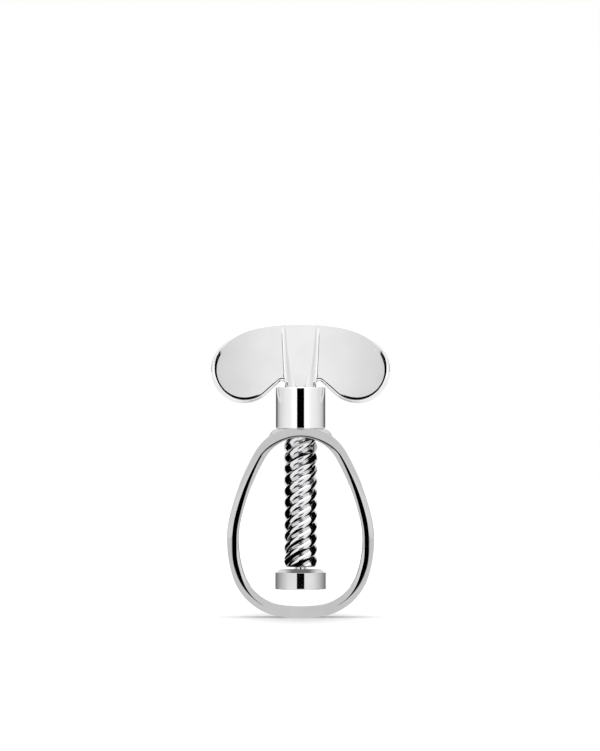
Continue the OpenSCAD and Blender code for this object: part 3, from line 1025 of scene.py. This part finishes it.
    def flat_mesh(self) -> tuple[np.ndarray, Faces]:
        """Triangulates the outline, with close rows along the rim and fine cells at the hub.

        Returns:
            The plane points and the triangles.
        """
        rim_rows = (1 - np.cos(np.linspace(0, math.pi / 2, self.rim_rows))) ** self.rim_crowding
        insets = np.append(self.rim * rim_rows, self.chamfer_reach + np.array(self.chamfer_rows))
        rows = [self.outline(float(inset)) for inset in insets]
        firsts = np.cumsum([0] + [len(row) for row in rows]).tolist()
        total = firsts[-1]
        edges = [(k, k + 1) for first, end in zip(firsts, firsts[1:]) for k in range(first, end - 1)]
        sole_x = np.arange(-rows[-1][0][0], rows[-1][0][0], self.hub_interior)[1:]
        bottom = [*firsts[:-1], *range(total + len(sole_x) - 1, total - 1, -1),
                  *(first - 1 for first in reversed(firsts[1:]))]
        edges += list(zip(bottom, bottom[1:]))
        points = rows + [np.stack([sole_x, 0 * sole_x + self.neck_z], axis=1)]
        for pitch, at_hub in ((self.interior, False), (self.hub_interior, True)):
            zs = np.arange(self.neck_z + pitch / 2, self.top_z, pitch * self.row_share)
            x, z = np.meshgrid(np.arange(-self.half_span, self.half_span, pitch), zs)
            x = (x + pitch / 2 * (np.arange(len(zs)) % 2)[:, None] + self.grid_shift).ravel()
            z = z.ravel()
            in_neck = (z < self.notch[1] + insets[-1]) & (np.abs(x) < self.neck - insets[-1] - self.neck_gap)
            keep = (np.abs(x) < self.neck + self.hub_reach) == at_hub
            keep &= (self.rim_distance(x, z) > insets[-1] + self.row_gap) | in_neck
            points.append(np.stack([x[keep], z[keep]], axis=1))
        found = delaunay_2d_cdt([Vector(p) for p in np.vstack(points)], edges, [], 0, 1e-5)
        where, triangles = np.array([tuple(p) for p in found[0]]), np.array(found[2])
        kept = triangles[inside_outline(where[triangles].mean(axis=1), rows[0])]
        return where, [tuple(face) for face in kept.tolist()]

    def build(self) -> bpy.types.Object:
        """Raises the plane mesh to both sides, closes it and sets exact normals.

        Returns:
            The wing handle.
        """
        plane, triangles = self.flat_mesh()
        x, z = plane.T
        count, half = len(plane), self.depth(x, z)
        edges = np.sort(np.vstack([np.roll(triangles, k, axis=1)[:, :2] for k in range(3)]), axis=1)
        edges, times = np.unique(edges, axis=0, return_counts=True)
        rim = edges[times == 1]
        outer = np.zeros(count, bool)
        outer[rim] = True
        shared = outer & ((half < self.thinnest) | (z > self.neck_z + self.flush))
        half = np.where(shared, 0.0, half)
        to_back = np.where(shared, np.arange(count), np.arange(count) + count).tolist()
        faces: Faces = []
        for a, b, c in triangles:
            if np.cross(plane[b] - plane[a], plane[c] - plane[a]) <= 0:
                b, c = c, b
            faces += [(a, b, c), (to_back[c], to_back[b], to_back[a])]
        sole = rim[(z[rim] < self.neck_z + self.flush).all(axis=1)]
        loop = sorted(set(sole.ravel().tolist()), key=lambda i: x[i])
        faces.append(tuple(loop[::-1]) + tuple(to_back[i] for i in loop if not shared[i]))
        used = np.zeros(2 * count, bool)
        used[[i for face in faces for i in face]] = True
        index = (np.cumsum(used) - 1).tolist()
        faces = [tuple(index[i] for i in face) for face in faces]
        points = np.vstack([np.stack([x, side * half, z], axis=1) for side in (-1, 1)])[used]
        normals = self._normals(points, faces)
        return Piece("wing_polished", "screw", WING_STEEL, ("wing_handle",), points, faces, normals).build()

    def _normals(self, points: np.ndarray, faces: Faces) -> np.ndarray:
        """Normals for each face corner, from the depth's own slope.

        Args:
            points: All points.
            faces: All faces, the last of which is the flat under the neck.

        Returns:
            One normal for each corner.
        """
        nudge = self.nudge
        x, y, z = points.T
        across = (self.depth(x + nudge, z) - self.depth(x - nudge, z)) / (2 * nudge)
        up = (self.depth(x, z + nudge) - self.depth(x, z - nudge)) / (2 * nudge)
        side = np.where(np.abs(y) < 1e-6, 0.0, np.sign(y))
        smooth = np.stack([-across, side, -up], axis=1)
        smooth /= np.maximum(np.linalg.norm(smooth, axis=1, keepdims=True), 1e-9)
        sole = np.tile([[0.0, 0.0, -1.0]], (len(faces[-1]), 1))
        return np.vstack([smooth[np.concatenate([np.array(face) for face in faces[:-1]])], sole])


def inside_outline(points: np.ndarray, outline: np.ndarray) -> np.ndarray:
    """Says which plane points lie inside a closed outline.

    Args:
        points: Points to test.
        outline: The outline's corners in order.

    Returns:
        True for each point inside.
    """
    found = np.zeros(len(points), bool)
    start, end = outline, np.roll(outline, -1, axis=0)
    for (x0, z0), (x1, z1) in zip(start, end):
        if z0 == z1:
            continue
        crosses = (points[:, 1] > z0) != (points[:, 1] > z1)
        at = x0 + (points[:, 1] - z0) * (x1 - x0) / (z1 - z0)
        found ^= crosses & (points[:, 0] < at)
    return found


# ---------------------------------------------------------------- the foot

@dataclass
class Foot:
    """The swivel foot's cap, and the pin that it turns on."""

    wall: float = 2.2
    rim_height: float = 8.5
    top_radius: float = 10.2
    bush_radius: float = 4.05
    ceiling: float = 1.0
    groove: float = 0.55
    shank_step: float = 0.35
    edge_fillet: float = 0.35
    cone_fillet: float = 0.25
    ceiling_fillet: float = 0.3
    bore_fillet: float = 0.15
    small_fillet: float = 0.1
    pin_fillet: float = 0.2
    clip_fillet: float = 0.05
    shank_fillet: float = 0.12
    shank_end_fillet: float = 0.4

    def build(self) -> None:
        """Spins the cap and the pin."""
        low, high = box_mm("foot_cap")
        rim_z, inner = low.z + self.rim_height, high.x - self.wall
        roof = rim_z - self.ceiling
        cap = rounded([
            (inner, low.z, self.small_fillet), (high.x, low.z, self.edge_fillet),
            (high.x, rim_z, self.cone_fillet), (self.top_radius, high.z, self.edge_fillet),
            (self.bush_radius, high.z, self.bore_fillet), (self.bush_radius, roof, self.small_fillet),
            (inner, roof, self.ceiling_fillet)])
        Piece("foot_cap_polished", "foot", FOOT_STEEL, ("foot_cap",), *spin(cap, 360)).build()
        pin_low, pin_high = box_mm("swivel_pin")
        clip_low, clip_high = box_mm("pin_circlip")
        shank_z = box_mm("helix_screw")[0].z
        full, groove, shank = pin_high.x, pin_high.x - self.groove, pin_high.x - self.shank_step
        pin = rounded([
            (0, pin_low.z, 0), (full, pin_low.z, self.pin_fillet), (full, clip_low.z, self.clip_fillet),
            (groove, clip_low.z, self.clip_fillet), (groove, clip_high.z, self.clip_fillet),
            (full, clip_high.z, self.clip_fillet), (full, shank_z, self.shank_fillet), (shank, shank_z, 0.0),
            (shank, pin_high.z, self.shank_end_fillet), (0, pin_high.z, 0)], closed=False)
        points, faces = spin(pin, 128, closed=False)
        Piece("swivel_pin_turned", "screw", SCREW_STEEL, ("swivel_pin",), points, faces).build()


@dataclass(frozen=True)
class Fittings:
    """The small parts whose frame shape is right and which only need their finish."""

    dressed: tuple[tuple[str, Finish], ...] = (
        ("drive_nut", BRONZE), ("nut_lock_pin", DARK_STEEL), ("collar_set_screw", DARK_STEEL),
        ("guide_ring", BLACK_POLYMER), ("bumper_washer", GREY_POLYMER), ("handle_grub_screw", DARK_STEEL),
        ("swivel_bush", BLACK_POLYMER), ("pin_circlip", DARK_STEEL), ("thrust_plate", GROUND_STEEL),
        ("thrust_ball", SCREW_STEEL))

    def build(self) -> None:
        """Puts the finishes on."""
        for name, finish in self.dressed:
            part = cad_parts[name]
            part.data.materials.clear()
            part.data.materials.append(finish.material())
            LOG.info("%s: %s", name, finish.name)


# ---------------------------------------------------------------- the studio

@dataclass(frozen=True)
class Glow:
    """A card's surface: a brightness that runs from one place to another."""

    name: str
    middle: float = 0.0
    side: float = 0.0
    clear_back: bool = False
    axis: int = 0
    reach: Span = (0.012, 0.048)

    def material(self) -> bpy.types.Material:
        """Builds the surface's material.

        Along X the brightness runs both ways from the middle, and along Y from front to back.

        Returns:
            The material.
        """
        made = bpy.data.materials.new(self.name)
        made.use_nodes = True
        made.node_tree.nodes.clear()
        n = Node(made.node_tree)
        away = n.add("SeparateXYZ", {0: n.place()}).outputs[self.axis]
        if self.axis == 0:
            away = n.math("ABSOLUTE", away)
        level = n.remap(away, self.reach, (self.middle, self.side), "SMOOTHSTEP")
        surface = n.add("Emission", {"Strength": level}).outputs[0]
        if self.clear_back:
            facing, clear = n.add("NewGeometry").outputs["Backfacing"], n.add("BsdfTransparent").outputs[0]
            surface = n.add("MixShader", {0: facing, 1: surface, 2: clear}).outputs[0]
        n.add("OutputMaterial", {"Surface": surface})
        return made


@dataclass(frozen=True)
class Card:
    """A card near the object that only reflections can see, between two opposite corners."""

    name: str
    start: Corner
    end: Corner

    def build(self, surface: bpy.types.Material) -> None:
        """Stands the card up.

        Args:
            surface: Its material.
        """
        first = 0 if self.start[0] != self.end[0] else 2
        second = tuple(self.end[k] if k == first else self.start[k] for k in range(3))
        fourth = tuple(self.start[k] if k == first else self.end[k] for k in range(3))
        card = mesh_object(self.name, (self.start, second, self.end, fourth), [(0, 1, 2, 3)], surface)
        card.visible_camera = card.visible_diffuse = card.visible_shadow = False
        card.visible_transmission = card.visible_volume_scatter = False


@dataclass
class Studio:
    """Pale floor, soft surrounding light, cards that only polished steel sees, and the camera."""

    floor_half: float = 6000.0
    # The floor's painted shadow (shade_*), and the painted glow that glossy rays see on it (bounce_*).
    shade_reach: Corner = (0.05, 0.3, 1.0)
    shade_levels: Span = (0.66, 0.93)
    bounce_reach: Span = (0.11, 0.24)
    bounce_far: float = 0.38
    bounce_fan: Span = (0.16, 0.36)
    ring: tuple[Span, ...] = ((0, 1.2), (36, 1.2), (50, 1.02), (77, 0.93), (108, 0.74), (128, 0.52),
                              (139, 0.16), (166, 0.14), (172, 0.9), (180, 1.0))
    horizon: Span = (6.0, 17.0)
    overhead: Span = (48.0, 66.0)
    overhead_level: float = 1.9
    camera_distance: float = 5000.0
    camera_height: float = 123.65
    camera_aside: float = -0.3
    view_height: float = 384.5
    sensor: float = 36.0
    cards: tuple[tuple[Glow, tuple[Card, ...]], ...] = (
        (Glow("card_black"), (Card("front_card", (-112.0, -380.0, 0.0), (112.0, -380.0, 210.0)),)),
        (Glow("panel_white", 0.97, 0.78), (
            Card("front_panel", (-50.0, -378.0, 172.0), (50.0, -378.0, 250.0)),)),
        (Glow("flag_black", clear_back=True), (
            Card("left_flag", (-19.5, 11.5, 26.0), (-19.5, -11.5, 84.0)),
            Card("right_flag", (19.5, -11.5, 26.0), (19.5, 11.5, 84.0)),
            Card("base_flag", (-15.0, -42.0, 26.0), (15.0, 11.5, 26.0)),
            Card("top_flag", (19.5, -11.5, 84.0), (-19.5, 11.5, 84.0)))),
        (Glow("cap_shade_grey", 0.2, 0.9, clear_back=True, reach=(0.004, 0.011)), (
            Card("cap_shade", (14.0, -14.0, 26.4), (-14.0, 14.0, 26.4)),)),
        (Glow("foot_flag_grey", 0.98, 0.2, clear_back=True, axis=1, reach=(-0.026, 0.012)), (
            Card("left_foot_flag", (-22.0, 14.0, 8.0), (-22.0, -30.0, 24.4)),
            Card("right_foot_flag", (22.0, -30.0, 8.0), (22.0, 14.0, 24.4)))))

    def build(self) -> None:
        """Sets up everything that isn't part of the object."""
        self._floor()
        self._world()
        for glow, cards in self.cards:
            surface = glow.material()
            for card in cards:
                card.build(surface)
        self._camera()

    def _floor(self) -> None:
        """Lays the floor, its colour painted darker under the object as a painted shadow, which polished
        steel sees as a painted glow.
        """
        floor_surface = bpy.data.materials.new("floor_with_painted_shadow")
        floor_surface.use_nodes = True
        shader = floor_surface.node_tree.nodes["Principled BSDF"]
        shader.inputs["Roughness"].default_value = 1.0
        shader.inputs["Specular IOR Level"].default_value = 0.0
        n = Node(floor_surface.node_tree)
        place = n.place()
        # Painted shadow: the floor's colour is painted darker near the object, fading out over shade_reach.
        far = n.vector("LENGTH", n.vector("DIVIDE", place, self.shade_reach))
        painted_shadow_grey, far_paint = ((level, level, level, 1.0) for level in self.shade_levels)
        n.wire(shader, Base_Color=n.mix(n.remap(far, kind="SMOOTHERSTEP"), painted_shadow_grey, far_paint))
        # Painted glow: glossy rays see the floor as emitted light, brightest near the object and off to
        # either side.
        level = n.remap(n.vector("LENGTH", place), self.bounce_reach, (1.0, self.bounce_far), "SMOOTHSTEP")
        x, y, _ = n.add("SeparateXYZ", {0: place}).outputs
        fan = n.math("DIVIDE", n.math("ABSOLUTE", x), n.math("ABSOLUTE", y))
        glow = n.math("MAXIMUM", level, n.remap(fan, self.bounce_fan, kind="SMOOTHSTEP"))
        glossy = n.add("LightPath").outputs["Is Glossy Ray"]
        bounce = n.add("Emission", {"Strength": glow}).outputs[0]
        mixed = n.add("MixShader", {0: glossy, 1: shader.outputs[0], 2: bounce})
        n.wire(floor_surface.node_tree.nodes["Material Output"], Surface=mixed.outputs[0])
        s = self.floor_half
        corners = [(-s, -s, 0), (s, -s, 0), (s, s, 0), (-s, s, 0)]
        mesh_object("floor", corners, [(0, 1, 2, 3)], floor_surface)

    def _world(self) -> None:
        """Lights the scene from all round, darker far behind and brighter overhead."""
        world = bpy.data.worlds.new("studio")
        bpy.context.scene.world = world
        world.use_nodes = True
        world.node_tree.nodes.clear()
        n = Node(world.node_tree)
        x, y, z = n.add("SeparateXYZ", {0: n.add("TexCoord").outputs["Generated"]}).outputs
        turn = n.math("ARCTAN2", n.math("ABSOLUTE", x), n.math("MULTIPLY", y, -1.0))
        ring = n.add("ValToRGB", {0: n.math("DIVIDE", turn, math.pi)})
        stops = ring.color_ramp.elements
        while len(stops) < len(self.ring):
            stops.new(0.5)
        for stop, (degrees, level) in zip(stops, self.ring):
            stop.position, stop.color = degrees / 180, (level, level, level, 1.0)
        horizon, overhead = ([math.sin(math.radians(turn)) for turn in span]
                             for span in (self.horizon, self.overhead))
        sky = n.remap(z, overhead, (1.0, self.overhead_level), "SMOOTHSTEP")
        level = n.blend(n.remap(z, horizon, kind="SMOOTHSTEP"), ring.outputs["Color"], sky)
        seen, lit = (n.add("Background", {"Color": (1.0, 1.0, 1.0, 1.0), "Strength": strength}).outputs[0]
                     for strength in (1.0, level))
        both = n.add("MixShader", {0: n.add("LightPath").outputs["Is Camera Ray"], 1: lit, 2: seen})
        n.add("OutputWorld", {"Surface": both.outputs[0]})

    def _camera(self) -> None:
        """Aims a long lens level at the object's front."""
        lens = bpy.data.cameras.new("camera")
        lens.sensor_fit = "VERTICAL"
        lens.sensor_height = self.sensor
        lens.lens = self.sensor * self.camera_distance / self.view_height
        lens.clip_end = 100.0
        camera = bpy.data.objects.new("camera", lens)
        camera.location = Vector((self.camera_aside, -self.camera_distance, self.camera_height)) * MM
        camera.rotation_euler = (math.pi / 2, 0.0, 0.0)
        bpy.context.scene.collection.objects.link(camera)
        bpy.context.scene.camera = camera
        bpy.context.scene.view_settings.view_transform = "Standard"


def main() -> None:
    """Builds the studio and every piece in order."""
    logging.basicConfig(level=logging.INFO, format="%(name)s: %(message)s")
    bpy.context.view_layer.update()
    Studio().build()
    Hoop().build()
    Collar().build()
    Screw().build()
    Wing().build()
    Foot().build()
    Fittings().build()


if __name__ == "__main__":
    main()
